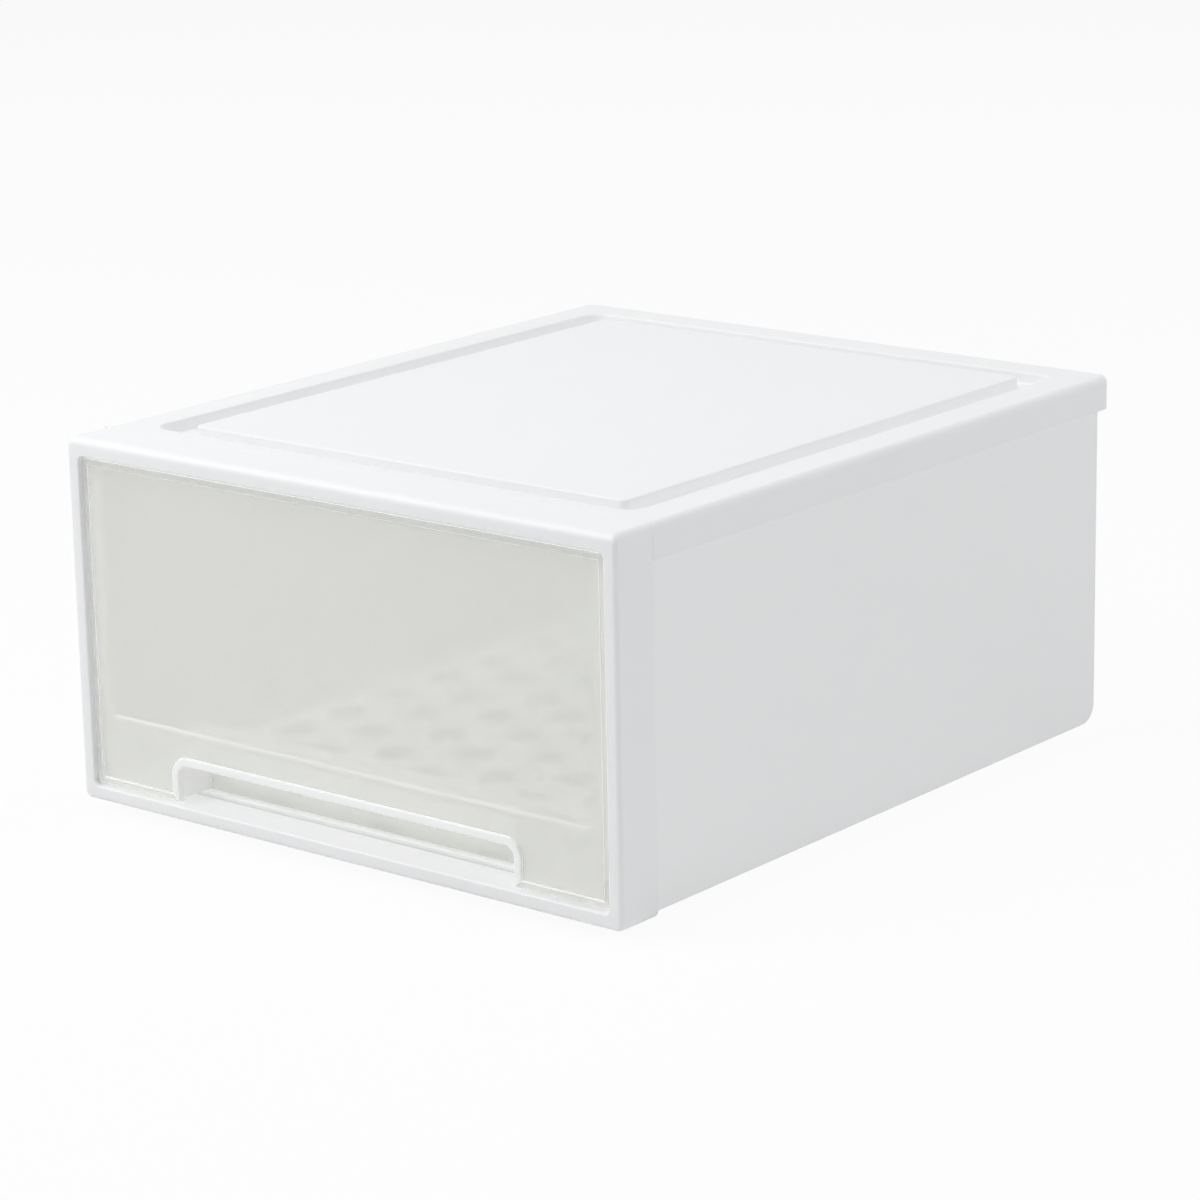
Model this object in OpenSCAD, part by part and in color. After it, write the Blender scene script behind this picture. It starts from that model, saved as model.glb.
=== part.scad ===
// Stackable drawer box in white polypropylene.
// A front frame, a grooved top cover, two side panels, a back panel and a base panel slot together
// into the casing. Four push-in feet carry it and drop into the groove of a box below.
// A tub with a press-on front slides on the base panel's runners, and is opened by a finger
// pocket at the bottom of its front.
// x runs across the box, y from the face of the frame to the rear, z up from the surface it
// stands on. All sizes are in millimetres.

/* [Overall] */
// Width of the casing
width = 340; // [300:1:400]
// Depth from the face of the frame to the rear edge of the cover
depth = 400; // [370:1:460]
// Height of the casing without its feet
height = 182.5; // [150:0.5:230]

/* [Walls and fits] */
// Wall of the front frame and of the top cover
shell_t = 2.4; // [2:0.1:2.7]
// Wall of the side, back and base panels
panel_t = 2.2; // [1.8:0.1:2.4]
// Wall of the drawer tub
tub_t = 2.2; // [1.8:0.1:2.8]
// Gap between pieces that slot together or slide on each other
fit = 0.3; // [0.2:0.05:0.4]
// Gap beside and above the drawer front in the frame's opening
drawer_gap = 0.8; // [0.6:0.1:1.2]
// Gap below the drawer front
sill_gap = 1.3; // [1:0.1:2]

/* [Front frame] */
// Depth of the frame's outer wall
frame_d = 26; // [24:0.5:34]
// Depth of the lining around the opening
lining_d = 20; // [16:0.5:22]
// Width of the frame's face beside the opening
bezel_side = 7.5; // [7.2:0.1:10]
// Width of the frame's face above the opening
bezel_top = 9; // [7.2:0.1:12]
// Width of the frame's face below the opening
bezel_bottom = 7.3; // [7:0.1:12]
// Radius of the upper corners, seen from the front
upper_r = 4; // [3:0.5:5]
// Radius of the lower corners, seen from the front
lower_r = 6; // [4:0.5:6]
// Radius of the opening's corners
opening_r = 3; // [2:0.5:6]
// Radius of the edges below and beside the frame's face
face_edge_r = 2.5; // [1:0.25:3.5]
// Radius of the edge above the frame's face
face_top_r = 4; // [1:0.25:5]

/* [Top cover] */
// Height of the skirt that hangs down around the casing
skirt_h = 17; // [12:1:30]
// Length by which the cover stands out behind the casing
overhang = 11; // [5:0.5:14]
// Radius of the rear corners, seen from above
cover_r = 6; // [4:0.5:10]
// Radius of the upper rear edge
rear_edge_r = 2.5; // [1:0.25:3.5]
// Border between the sides and the groove
border_side = 21; // [18:0.5:28]
// Border between the frame and the groove
border_front = 12.2; // [8:0.2:20]
// Border between the rear edge and the groove
border_rear = 20; // [17:0.5:30]
// Width of the groove along the sides
groove_side = 14.7; // [13:0.1:20]
// Width of the groove at the front
groove_front = 13.5; // [8:0.5:20]
// Width of the groove at the rear
groove_rear = 9; // [6:0.5:16]
// Depth of the groove
groove_depth = 6; // [5:0.25:9]
// Outer corner radius of the groove
groove_r = 10; // [8:0.5:14]
// Corner radius of the platform inside the groove
platform_r = 4; // [2:0.5:8]

/* [Casing panels] */
// Inset of the side panels from the frame's side
side_inset = 0.6; // [0.3:0.1:1]
// Height of the side panels' lower edge above the frame's underside
panel_lift = 2.2; // [1.4:0.1:3]
// Radius of the side panels' lower rear corner
heel_r = 10; // [6:0.5:14]
// Width of the flanges along the side panels' lower and rear edges
return_w = 12; // [10:0.5:16]
// Distance of the tongues' ends behind the frame's face
tongue_y = 8; // [4:0.5:14]
// Height of the stiffening ribs on the back panel
back_rib_h = 2; // [1:0.25:2.2]
// Number of upright ribs on the back panel
back_ribs = 5; // [3:1:9]
// Number of level ribs on the back panel
back_levels = 3; // [2:1:5]
// Distance of the back panel's ribs from its edges
rib_margin = 9; // [6:0.5:20]

/* [Runners and feet] */
// Width of a runner
runner_w = 3; // [2:0.5:5]
// Distance of the inner runners from the middle
runner_in = 30; // [20:1:40]
// Distance of the outer runners from the middle
runner_out = 124; // [115:1:128]
// Height of the guides that keep the drawer central, above the deck
guide_h = 7.6; // [5:0.2:14]
// Gap between a guide and the tub
guide_gap = 1; // [0.6:0.1:1.6]
// Depth of the ribs under the deck
deck_rib_h = 2.6; // [1:0.2:3]
// Number of ribs under the deck from front to rear
deck_ribs_long = 5; // [3:1:9]
// Number of ribs under the deck from side to side
deck_ribs_wide = 6; // [3:1:9]
// Length by which the feet stand out below the frame
foot_drop = 6; // [4:0.25:9]
// Clearance of a foot in the groove of the box below, each side
foot_clearance = 1.3; // [0.8:0.1:2]
// Length of a foot
foot_l = 40; // [30:1:60]
// Distance from a foot to the groove's end
foot_end = 12; // [10:1:30]
// Corner radius of a foot
foot_r = 4; // [1:0.25:4.25]
// Radius of a foot's pegs
peg_r = 2.5; // [1.8:0.1:3]
// Distance between a foot's two pegs
peg_pitch = 22; // [12:1:24]
// Width of the catch around a peg's head
peg_catch = 0.9; // [0.6:0.1:1.2]
// Height of a peg's head
peg_head_h = 1.4; // [0.8:0.1:1.6]

/* [Drawer] */
// Travel from closed to the stop
travel = 300; // [200:1:315]
// Depth of the drawer front's face behind the frame's face
recess = 3; // [2.5:0.1:4]
// Thickness of the drawer front
front_t = 2; // [1.6:0.1:2.6]
// Width of the raised rim around the drawer front
rim_w = 2.6; // [1.5:0.1:4]
// Height of the raised rim and wall of the flange behind it
rim_h = 0.8; // [0.4:0.1:1.4]
// Wall of the flange that presses over the tub
press_t = 1; // [0.8:0.1:2]
// Free height between the tub's edge and the underside of the groove
head_room = 4.6; // [3.5:0.1:8]
// Width of the ledge around the tub's upper edge
ledge_w = 3.5; // [2:0.25:4]
// Inward slope of each tub side from its edge to its floor
draft = 2.5; // [1:0.25:5]
// Outer radius of the tub's rear corners
tub_r = 14; // [8:0.5:24]
// Free length behind the closed tub
rear_room = 2; // [1:0.5:6]
// Width of the stop pads under the tub, which end the travel at the sill rib
stop_w = 50; // [20:2:64]
// Border of the tub's front around its window, beside the window
window_side = 9; // [5:0.2:12]
// Border of the tub's front above the window
window_top = 3.9; // [3:0.1:8]
// Height of the window's lower edge above the frame's underside
window_z = 43; // [39:0.5:56]
// Corner radius of the window
window_r = 4; // [2:0.5:8]

/* [Finger pocket] */
// Width of the pull opening
pull_w = 212; // [120:1:240]
// Height of the pull opening above the frame's underside
pull_z = 27.6; // [24:0.2:31]
// Width of the lip around the pull opening
lip_w = 4.4; // [3:0.2:5]
// Height by which the lip stands out of the drawer front
lip_h = 1.2; // [0.6:0.1:1.6]
// Outer corner radius of the lip
lip_r = 10; // [5.5:0.5:12]
// Depth of the pocket, from the frame's face to its back wall
pocket_d = 24; // [20:0.5:34]

/* [Floor pattern] */
// Radius of a dimple in the tub's floor
dimple_r = 9; // [4:0.5:12]
// Depth of a dimple
dimple_h = 0.8; // [0.4:0.1:1]
// Distance between neighbouring dimples
dimple_pitch = 39; // [30:1:60]
// Least distance between a dimple and the tub's walls
dimple_edge = 4; // [2:0.5:10]

/* [Hidden] */
$fn = 64;
// Length by which a cut runs past the surface that it opens
over = 1;
// Smallest radius of a corner that a wall takes up
least_r = 0.5;

// Levels, from the surface that the box stands on
frame_z = foot_drop;
top_z = frame_z + height;
sill_z = frame_z + bezel_bottom;
head_z = top_z - bezel_top;
skirt_z = top_z - skirt_h;
deck_z = sill_z - panel_t;
// The drawer front's lower edge, and the runners, which end at the top of its flange
front_low_z = sill_z + sill_gap;
runner_z = front_low_z + press_t;
floor_z = runner_z + fit;
edge_z = top_z - groove_depth - shell_t - head_room;
under_cover_z = top_z - shell_t - fit;

// Places across the box, measured from its middle
side_x = width / 2;
opening_x = side_x - bezel_side;
panel_x = side_x - side_inset;
return_x = panel_x - return_w;
// The step of a side panel: the strip that enters the frame and lies under the cover's skirt
strip_out_x = side_x - shell_t - fit;
strip_in_x = opening_x + shell_t + fit;
between_x = strip_in_x - fit;
groove_x = side_x - border_side;
platform_x = groove_x - groove_side;

// Places from front to rear
seam_y = frame_d + fit;
casing_y = depth - overhang;
back_out_y = casing_y - panel_t - fit;
back_in_y = back_out_y - panel_t;
back_rib_y = back_in_y - fit - panel_t;
sill_rib_y = lining_d + fit;
sill_rib_end_y = sill_rib_y + panel_t;
groove_y = [seam_y + border_front, depth - border_rear];
platform_y = [groove_y[0] + groove_front, groove_y[1] - groove_rear];

// The drawer
front_x = opening_x - drawer_gap;
front_z = [front_low_z, head_z - drawer_gap];
front_r = max(opening_r - drawer_gap, least_r);
front_y = recess;
tub_y = recess + front_t;
plate_x = front_x - press_t - fit;
plate_top_z = front_z[1] - press_t - fit;
ledge_x = front_x - fit;
wall_x = ledge_x - ledge_w;
foot_wall_x = wall_x - draft;
ledge_y = back_rib_y - rear_room;
tub_end_y = ledge_y - ledge_w;
stop_y = sill_rib_end_y + travel + fit;
pocket_roof_z = frame_z + window_z - tub_t;
pull_x = pull_w / 2;
pull_top_z = frame_z + pull_z;

// Feet and runners
foot_w = groove_side - 2 * foot_clearance;
foot_x = groove_x - groove_side / 2;
foot_y = [groove_y[0] + foot_end + foot_l / 2, groove_y[1] - foot_end - foot_l / 2];
hole_r = peg_r + fit;
guide_x = foot_wall_x + guide_gap;
stop_x = (runner_in + runner_out) / 2;

// ---------------------------------------------------------------- outlines and directions

// Everything is drawn with the frame's face at y = 0 and moved so that the box is centred
module centred() {
    translate([0, -depth / 2, 0]) children();
}

// Carries an outline drawn in x and z along y
module along_y(from, to) {
    translate([0, to, 0]) rotate([90, 0, 0]) linear_extrude(to - from) children();
}

// Carries an outline drawn in y and z along x
module along_x(from, to) {
    translate([from, 0, 0]) rotate([90, 0, 90]) linear_extrude(to - from) children();
}

// Carries an outline drawn in x and y along z
module along_z(from, to) {
    translate([0, 0, from]) linear_extrude(to - from) children();
}

// A box given by its lowest and highest corners
module block(low, high) {
    translate(low) cube(high - low);
}

// Evenly spaced places from the first to the last of a range
function spread(range, count) =
    let (step = (range[1] - range[0]) / (count - 1)) [for (i = [0:count - 1]) range[0] + i * step];

// The same shape on the left and on the right
module both_sides() {
    children();
    mirror([1, 0, 0]) children();
}

// What a fillet of radius r takes off the corner at a point; dir points into the outline
module corner_cut(at, dir, r) {
    difference() {
        translate(at + dir * (r - over) / 2) square(r + over, center = true);
        translate(at + dir * r) circle(r);
    }
}

// A rectangle with a radius at its lower left, lower right, upper right and upper left corner
module outline(low, high, r = [0, 0, 0, 0]) {
    corners = [low, [high[0], low[1]], high, [low[0], high[1]]];
    inward = [[1, 1], [-1, 1], [-1, -1], [1, -1]];
    difference() {
        translate(low) square(high - low);
        for (i = [0:3]) if (r[i] > 0) corner_cut(corners[i], inward[i], r[i]);
    }
}

// The frame's outline seen from the front, drawn in by a wall
module casing_outline(wall = 0) {
    low_r = max(lower_r - wall, least_r);
    high_r = max(upper_r - wall, least_r);
    outline(
        [-side_x + wall, frame_z + wall], [side_x - wall, top_z - wall],
        [low_r, low_r, high_r, high_r]
    );
}

// The opening's outline, drawn out by a wall
module opening_outline(wall = 0) {
    r = opening_r + wall;
    outline([-opening_x - wall, sill_z - wall], [opening_x + wall, head_z + wall], [r, r, r, r]);
}

// A rectangle around the middle, in x and y, with one radius at all four corners
module plan(half_x, ys, r) {
    outline([-half_x, ys[0]], [half_x, ys[1]], [r, r, r, r]);
}

// ---------------------------------------------------------------- casing

// A collar with a rounded face, an outer wall and a shorter lining; the panels slot between them
module front_frame() color("white") centred() {
    r = face_edge_r;
    difference() {
        intersection() {
            along_y(0, frame_d) casing_outline();
            along_z(0, top_z + over) outline([-side_x, 0], [side_x, frame_d], [r, r, 0, 0]);
            along_x(-side_x, side_x) outline([0, frame_z], [frame_d, top_z], [r, 0, 0, face_top_r]);
        }
        along_y(-over, frame_d + over) opening_outline();
        difference() {
            along_y(shell_t, frame_d + over) casing_outline(shell_t);
            along_y(0, lining_d) opening_outline(shell_t);
        }
    }
}

// A lid with a skirt on three sides, a groove around its top and a tongue that enters the frame
module top_cover() color("white") centred() {
    difference() {
        union() {
            cover_shell();
            // the trough that holds the groove
            along_z(top_z - groove_depth - shell_t, top_z - shell_t / 2) difference() {
                plan(
                    groove_x + shell_t, [groove_y[0] - shell_t, groove_y[1] + shell_t],
                    groove_r + shell_t
                );
                plan(
                    platform_x - shell_t, [platform_y[0] + shell_t, platform_y[1] - shell_t],
                    max(platform_r - shell_t, least_r)
                );
            }
            // the tongue, and the step that carries it
            block(
                [-between_x, tongue_y, head_z + shell_t + fit],
                [between_x, seam_y + shell_t, under_cover_z]
            );
            block(
                [-between_x, seam_y, under_cover_z - fit],
                [between_x, seam_y + shell_t, top_z - shell_t / 2]
            );
        }
        along_z(top_z - groove_depth, top_z + over) difference() {
            plan(groove_x, groove_y, groove_r);
            plan(platform_x, platform_y, platform_r);
        }
    }
}

module cover_shell() {
    r = cover_r;
    inner_r = max(cover_r - shell_t, least_r);
    difference() {
        intersection() {
            along_z(skirt_z, top_z) outline([-side_x, seam_y], [side_x, depth], [0, 0, r, r]);
            along_y(seam_y, depth) casing_outline();
            along_x(-side_x, side_x) outline([seam_y, frame_z], [depth, top_z], [0, 0, rear_edge_r, 0]);
        }
        along_z(skirt_z - over, top_z - shell_t) outline(
            [-side_x + shell_t, seam_y - over], [side_x - shell_t, depth - shell_t],
            [0, 0, inner_r, inner_r]
        );
    }
}

// The side wall's outline in y and z, drawn in by a wall at its lower and rear edges
module side_outline(wall = 0) {
    outline(
        [seam_y - wall, frame_z + panel_lift + wall], [casing_y - wall, skirt_z - fit + wall],
        [0, heel_r - wall, 0, 0]
    );
}

// A plate, stepped in at the front and at the top, with a flange along its lower and rear edges
module side_panel() {
    step_z = skirt_z - fit;
    along_x(panel_x - panel_t, panel_x) side_outline();
    along_x(return_x, panel_x) difference() {
        side_outline();
        side_outline(panel_t);
    }
    // the step at the front and the tongue that enters the frame
    block([strip_in_x, seam_y, frame_z + lower_r], [panel_x, seam_y + panel_t, step_z]);
    block([strip_in_x, tongue_y, frame_z + lower_r], [strip_out_x, seam_y + panel_t, top_z - upper_r]);
    // the step at the top and the strip behind the cover's skirt
    block([strip_in_x, seam_y, step_z - panel_t], [panel_x, casing_y, step_z]);
    block([strip_in_x, seam_y, step_z - panel_t], [strip_out_x, casing_y, under_cover_z]);
    // the groove that holds the back panel: the rear flange goes on up, with a rib in front of it
    block([return_x, casing_y - panel_t, step_z - panel_t], [strip_out_x, casing_y, under_cover_z]);
    block(
        [return_x, back_rib_y, frame_z + panel_lift + heel_r],
        [panel_x - panel_t / 2, back_rib_y + panel_t, step_z]
    );
    block([return_x, back_rib_y, step_z - panel_t], [strip_out_x, back_rib_y + panel_t, under_cover_z]);
}

module side_panel_right() color("whitesmoke") centred() side_panel();

module side_panel_left() color("whitesmoke") centred() mirror([1, 0, 0]) side_panel();

// A plate held in the side panels' grooves, with an apron between their flanges and outer ribs
module back_panel() color("whitesmoke") centred() {
    heel_z = frame_z + panel_lift + heel_r + fit;
    field_x = return_x - rib_margin;
    field_z = [heel_z + rib_margin, skirt_z - rib_margin];
    rib_y = [back_out_y - panel_t / 2, back_out_y + back_rib_h];
    block([-between_x, back_in_y, heel_z], [between_x, back_out_y, under_cover_z]);
    block([-return_x + fit, back_in_y, frame_z + panel_lift], [return_x - fit, back_out_y, heel_z + fit]);
    for (x = spread([-field_x, field_x], back_ribs)) {
        block([x - panel_t / 2, rib_y[0], field_z[0]], [x + panel_t / 2, rib_y[1], field_z[1]]);
    }
    for (z = spread(field_z, back_levels)) {
        block([-field_x, rib_y[0], z - panel_t / 2], [field_x, rib_y[1], z + panel_t / 2]);
    }
}

// A deck with a tongue and a sill rib at the front, runners and guides on top, ribs beneath,
// and the holes of the feet
module base_panel() color("whitesmoke") centred() {
    flange_z = frame_z + panel_lift + panel_t + fit;
    heel_y = casing_y - heel_r;
    deck_x = return_x - fit;
    difference() {
        union() {
            block([-deck_x, sill_rib_y, deck_z], [deck_x, back_in_y - fit, sill_z]);
            // the sill rib that the drawer passes over, and the tongue below it
            block([-between_x, sill_rib_y, frame_z + shell_t + fit], [between_x, sill_rib_end_y, runner_z]);
            block(
                [-opening_x, tongue_y, frame_z + shell_t + fit],
                [opening_x, sill_rib_y + panel_t / 2, sill_z - shell_t - fit]
            );
            both_sides() {
                // the deck's edge, which rests on the side panel's flange
                block([deck_x - panel_t, sill_rib_y, flange_z], [between_x, heel_y, sill_z]);
                block(
                    [guide_x, seam_y, sill_z - panel_t / 2],
                    [guide_x + panel_t, heel_y, sill_z + guide_h]
                );
                for (x = [runner_in, runner_out]) block(
                    [x - runner_w / 2, sill_rib_y + panel_t / 2, sill_z - panel_t / 2],
                    [x + runner_w / 2, heel_y, runner_z]
                );
            }
            deck_ribs();
        }
        both_sides() for (y = foot_y, i = [-1, 1]) {
            translate([foot_x, y + i * peg_pitch / 2, deck_z - over]) {
                cylinder(r = hole_r, h = panel_t + 2 * over);
            }
        }
    }
}

// Crossed ribs under the deck, between the two rows of feet
module deck_ribs() {
    field_x = foot_x - foot_w;
    field_y = [seam_y + rib_margin, casing_y - heel_r - rib_margin];
    z = [deck_z - deck_rib_h, deck_z + panel_t / 2];
    for (x = spread([-field_x, field_x], deck_ribs_long)) {
        block([x - panel_t / 2, field_y[0], z[0]], [x + panel_t / 2, field_y[1], z[1]]);
    }
    for (y = spread(field_y, deck_ribs_wide)) {
        block([-field_x, y - panel_t / 2, z[0]], [field_x, y + panel_t / 2, z[1]]);
    }
}

// A rounded pad with two pegs whose heads snap through the deck
module foot(side, y) color("gainsboro") centred() {
    r = foot_r;
    translate([side * foot_x, y, 0]) {
        along_z(0, deck_z) outline([-foot_w / 2, -foot_l / 2], [foot_w / 2, foot_l / 2], [r, r, r, r]);
        for (i = [-1, 1]) translate([0, i * peg_pitch / 2, deck_z]) {
            translate([0, 0, -over]) cylinder(r = peg_r, h = over + panel_t + fit + peg_head_h / 2);
            translate([0, 0, panel_t + fit]) {
                cylinder(r1 = peg_r + peg_catch, r2 = peg_r - fit, h = peg_head_h);
            }
        }
    }
}

module foot_front_left() foot(-1, foot_y[0]);

module foot_front_right() foot(1, foot_y[0]);

module foot_rear_left() foot(-1, foot_y[1]);

module foot_rear_right() foot(1, foot_y[1]);

// ---------------------------------------------------------------- drawer

// The tub's section in x and z, drawn in by a wall
module tub_section(wall, high_z) {
    slope = draft / (edge_z - floor_z);
    low_z = floor_z + wall;
    low_x = foot_wall_x - wall + slope * (low_z - floor_z);
    high_x = foot_wall_x - wall + slope * (high_z - floor_z);
    polygon([[-low_x, low_z], [low_x, low_z], [high_x, high_z], [-high_x, high_z]]);
}

// The tub's body from the floor to a level, drawn in by a wall
module tub_body(wall, high_z) {
    y = [tub_y + wall, tub_end_y - wall];
    r = tub_r - wall;
    intersection() {
        along_y(y[0], y[1]) tub_section(wall, high_z);
        along_z(floor_z, high_z) outline([-wall_x + wall, y[0]], [wall_x - wall, y[1]], [0, 0, r, r]);
    }
}

// A tray with a front plate that has a large window, a ledge around its edge, a finger pocket
// under the window, a dimpled floor and two stop pads beneath it
module drawer_tub() color("white", 0.6) centred() {
    difference() {
        union() {
            difference() {
                union() {
                    tub_body(0, edge_z);
                    tub_ledge();
                    along_y(tub_y, tub_y + tub_t) front_outline(press_t + fit);
                }
                tub_body(tub_t, edge_z + over);
                along_y(tub_y - over, tub_y + tub_t + over) window_outline();
            }
            block(
                [-pull_x - tub_t, tub_y, floor_z],
                [pull_x + tub_t, pocket_d + tub_t, pocket_roof_z + tub_t]
            );
        }
        block([-pull_x, tub_y - over, floor_z - over], [pull_x, pocket_d, pocket_roof_z]);
        dimples();
    }
    both_sides() block(
        [stop_x - stop_w / 2, stop_y, sill_z + fit],
        [stop_x + stop_w / 2, stop_y + tub_t, floor_z + tub_t / 2]
    );
}

module tub_ledge() {
    r = tub_r + ledge_w;
    along_z(edge_z - tub_t, edge_z) outline(
        [-ledge_x, tub_y + tub_t + fit], [ledge_x, ledge_y], [0, 0, r, r]
    );
}

module window_outline() {
    r = window_r;
    x = plate_x - window_side;
    outline([-x, frame_z + window_z], [x, plate_top_z - window_top], [r, r, r, r]);
}

// Round dimples in staggered rows, kept clear of the pocket and of the walls
module dimples() {
    row = dimple_pitch * sqrt(3) / 2;
    margin = dimple_edge + dimple_r + tub_t;
    y_min = pocket_d + margin;
    y_max = tub_end_y - tub_r - dimple_r;
    columns = floor((foot_wall_x - margin) / row);
    rows = floor((y_max - y_min) / dimple_pitch);
    for (i = [-columns:columns], j = [0:rows]) {
        y = y_min + (j + (i % 2 == 0 ? 0 : 0.5)) * dimple_pitch;
        if (y < y_max) translate([i * row, y, floor_z + tub_t - dimple_h]) {
            cylinder(r = dimple_r, h = dimple_h + over);
        }
    }
}

// The pull opening's outline from below the drawer front, drawn out by a wall
module pull_outline(wall = 0) {
    r = lip_r - lip_w + wall;
    outline([-pull_x - wall, frame_z], [pull_x + wall, pull_top_z + wall], [0, 0, r, r]);
}

module front_outline(wall = 0) {
    r = max(front_r - wall, least_r);
    outline([-front_x + wall, front_z[0] + wall], [front_x - wall, front_z[1] - wall], [r, r, r, r]);
}

// A plate with a raised rim, a flange that presses over the tub's front and a lip round the pull
module drawer_front() color("white", 0.6) centred() {
    difference() {
        union() {
            along_y(front_y, tub_y) front_outline();
            along_y(front_y - rim_h, tub_y) difference() {
                front_outline();
                front_outline(rim_w);
            }
            along_y(front_y, tub_y + tub_t) difference() {
                front_outline();
                front_outline(press_t);
            }
            along_y(front_y - lip_h, tub_y) intersection() {
                pull_outline(lip_w);
                front_outline();
            }
        }
        along_y(front_y - lip_h - over, tub_y + tub_t + over) pull_outline();
        along_y(tub_y, tub_y + tub_t + over) pull_outline(lip_w);
    }
}

front_frame();
top_cover();
side_panel_left();
side_panel_right();
back_panel();
base_panel();
foot_front_left();
foot_front_right();
foot_rear_left();
foot_rear_right();
drawer_tub();
drawer_front();
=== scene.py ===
"""Looks of a stackable drawer box in white and natural polypropylene.

The casing is a front frame, a grooved top cover, two side panels, a back panel, a base panel and
four feet. A hazy tub with a press-on front slides in it. Every piece is a numpy surface: rings of a
rounded outline, carried along a section and joined into closed shells.

Sizes are in millimetres. x runs across the box, y from the face of the front frame to the rear and
z up from the surface that the box stands on. Meshes are moved to the row frame, in metres, when
they are made.
"""

import logging
import math
from collections.abc import Callable
from dataclasses import dataclass, field
from enum import Enum

import bmesh
import bpy
import numpy as np
from mathutils import Matrix, Vector
from mathutils.geometry import delaunay_2d_cdt


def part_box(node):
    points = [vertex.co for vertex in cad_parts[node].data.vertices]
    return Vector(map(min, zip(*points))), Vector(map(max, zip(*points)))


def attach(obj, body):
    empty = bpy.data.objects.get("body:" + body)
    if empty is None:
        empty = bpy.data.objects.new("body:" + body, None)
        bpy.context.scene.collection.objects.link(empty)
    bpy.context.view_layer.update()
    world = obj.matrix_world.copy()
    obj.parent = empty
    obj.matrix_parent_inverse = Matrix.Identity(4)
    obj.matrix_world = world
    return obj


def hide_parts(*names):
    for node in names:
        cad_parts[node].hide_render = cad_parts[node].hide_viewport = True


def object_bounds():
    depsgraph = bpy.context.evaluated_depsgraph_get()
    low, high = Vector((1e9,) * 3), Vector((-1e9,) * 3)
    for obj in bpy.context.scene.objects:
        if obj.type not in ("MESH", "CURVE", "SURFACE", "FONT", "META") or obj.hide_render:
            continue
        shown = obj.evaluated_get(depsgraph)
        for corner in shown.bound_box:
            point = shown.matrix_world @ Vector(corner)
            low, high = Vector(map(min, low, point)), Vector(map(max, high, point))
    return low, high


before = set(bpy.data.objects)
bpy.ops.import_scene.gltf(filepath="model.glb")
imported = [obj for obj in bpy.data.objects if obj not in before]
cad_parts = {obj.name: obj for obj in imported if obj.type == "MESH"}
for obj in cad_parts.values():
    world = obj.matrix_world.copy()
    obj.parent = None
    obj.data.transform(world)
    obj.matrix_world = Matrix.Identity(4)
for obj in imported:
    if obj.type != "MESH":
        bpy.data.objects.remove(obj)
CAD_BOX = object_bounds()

log = logging.getLogger("drawer_box")

Colour = tuple[float, float, float]
Place = tuple[float, float, float]
Value = float | tuple[float, ...] | np.ndarray
Socket = bpy.types.NodeSocket

MM = 0.001
CASING = "casing"
DRAWER = "drawer"
# Distance within which two vertices of a piece are one, in metres
MERGE = 2e-6
# Distance within which two points of a flat area are one
FLAT_MERGE = 1e-6
# Smallest radius that an outline's corner keeps when it is drawn in
LEAST_RADIUS = 0.04
# Radius of the small edges of a moulded wall
EDGE = 0.35
# Weight of the large faces in the weighted normals, where 50 is neutral
FLAT_WEIGHT = 100
# Straight steps of a quarter turn: of a corner, a wall's small edge, a bead, a foot, a soft edge and
# a wide edge
CORNER_STEPS = 8
EDGE_STEPS = 2
BEAD_STEPS = 3
FOOT_STEPS = 4
SOFT_STEPS = 5
WIDE_STEPS = 8
# The Mix node's sockets for colours
COLOUR_MIX_INPUTS = (0, 6, 7)
COLOUR_MIX_RESULT = 2


def span(node: str) -> tuple[np.ndarray, np.ndarray]:
    """The box of a CAD node in millimetres, with y from the frame's face.

    Args:
        node: Name of the node.

    Returns:
        Its lowest and its highest corner.
    """
    low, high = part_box(node)
    shift = np.array([0.0, -CAD_BOX[0].y / MM, 0.0])
    return np.array(low) / MM + shift, np.array(high) / MM + shift


# ---------------------------------------------------------------- outlines, sections and shells


class Plane(Enum):
    """The plane of an outline: the row axes of its first, its second and its level value."""

    FRONT = (0, 2, 1)
    TOP = (0, 1, 2)
    SIDE = (1, 2, 0)


class Leave(Enum):
    """The direction in which a quarter turn of a section leaves its last station."""

    INWARD = "along the inset"
    ALONG = "along the level"


class Section:
    """What is carried round an outline: stations of an inset and a level, one number or one a side."""

    def __init__(self, inset: Value, level: Value) -> None:
        """Starts at a station."""
        self.stations: list[tuple[np.ndarray, np.ndarray]] = []
        self.to(inset, level)

    def to(self, inset: Value, level: Value) -> "Section":
        """Goes straight to a station."""
        self.stations.append((np.asarray(inset, float), np.asarray(level, float)))
        return self

    def turn(self, inset: Value, level: Value, leave: Leave, steps: int = EDGE_STEPS) -> "Section":
        """Goes to a station by a quarter of an ellipse.

        With t from 0 to a right angle, the value that the turn leaves along grows with sin t and the
        other one with 1 - cos t.

        Args:
            inset: Inset of the new station.
            level: Level of the new station.
            leave: The direction in which the turn sets out.
            steps: Number of straight steps that stand for the quarter.

        Returns:
            The section itself.
        """
        w0, l0 = self.stations[-1]
        w1, l1 = np.asarray(inset, float), np.asarray(level, float)
        for t in np.linspace(0, math.pi / 2, steps + 1)[1:]:
            early, late = math.sin(t), 1 - math.cos(t)
            a, b = (early, late) if leave is Leave.INWARD else (late, early)
            self.stations.append((w0 + (w1 - w0) * a, l0 + (l1 - l0) * b))
        return self

    def table(self, sides: int) -> tuple[np.ndarray, np.ndarray]:
        """Insets and levels as arrays of stations by sides."""
        rows = [(np.broadcast_to(w, sides), np.broadcast_to(v, sides)) for w, v in self.stations]
        return np.array([w for w, _ in rows]), np.array([v for _, v in rows])


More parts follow.
